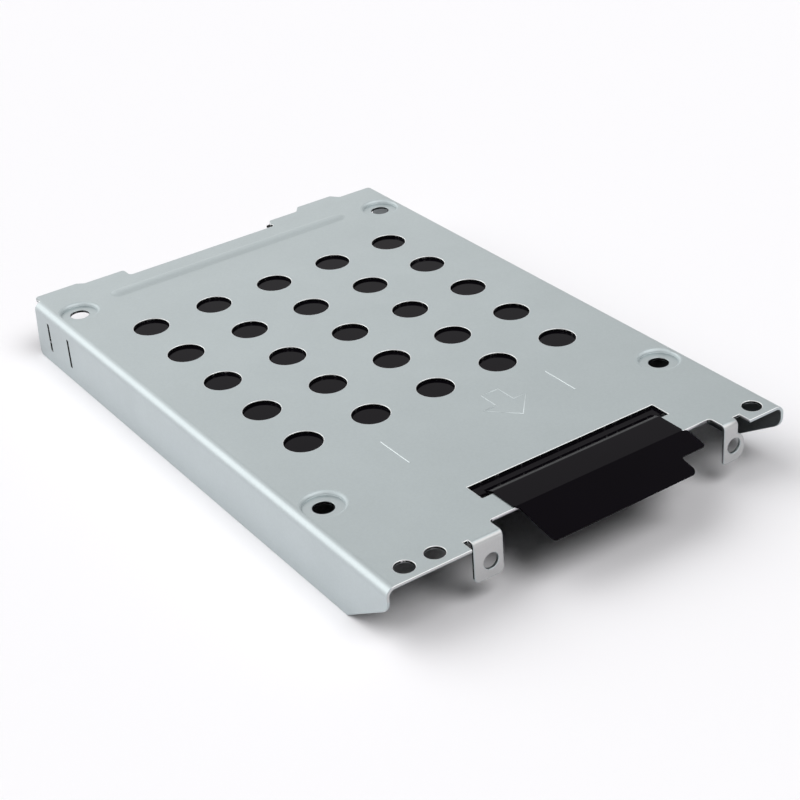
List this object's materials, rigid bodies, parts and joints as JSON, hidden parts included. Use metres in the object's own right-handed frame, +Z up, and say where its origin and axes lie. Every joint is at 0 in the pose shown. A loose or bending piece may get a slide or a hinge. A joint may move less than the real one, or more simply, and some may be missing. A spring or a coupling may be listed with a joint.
{
  "type": "laptop drive caddy",
  "caption": "Folded sheet-steel caddy for a 2.5 inch laptop drive, with vent holes, fixing tabs and a black insulating film that comes up through a front slot.",
  "frame": {"origin": "middle of the four drive screws, on the floor of the dimples that their heads seat in, 0.6 mm under the top face of the plate", "axes": "+Z up out of the plate, -Y towards the front with the fixing tabs, +X to the right seen from the front"},
  "size_m": [0.071, 0.1134, 0.0105],
  "materials": {
    "sheet_steel": "satin zinc-plated sheet, uncoated cut edges",
    "black_film": "smooth polyester film"
  },
  "bodies": {
    "root": {"caddy_tray": "sheet_steel", "insulator_film": "black_film"}
  },
  "joints": []
}
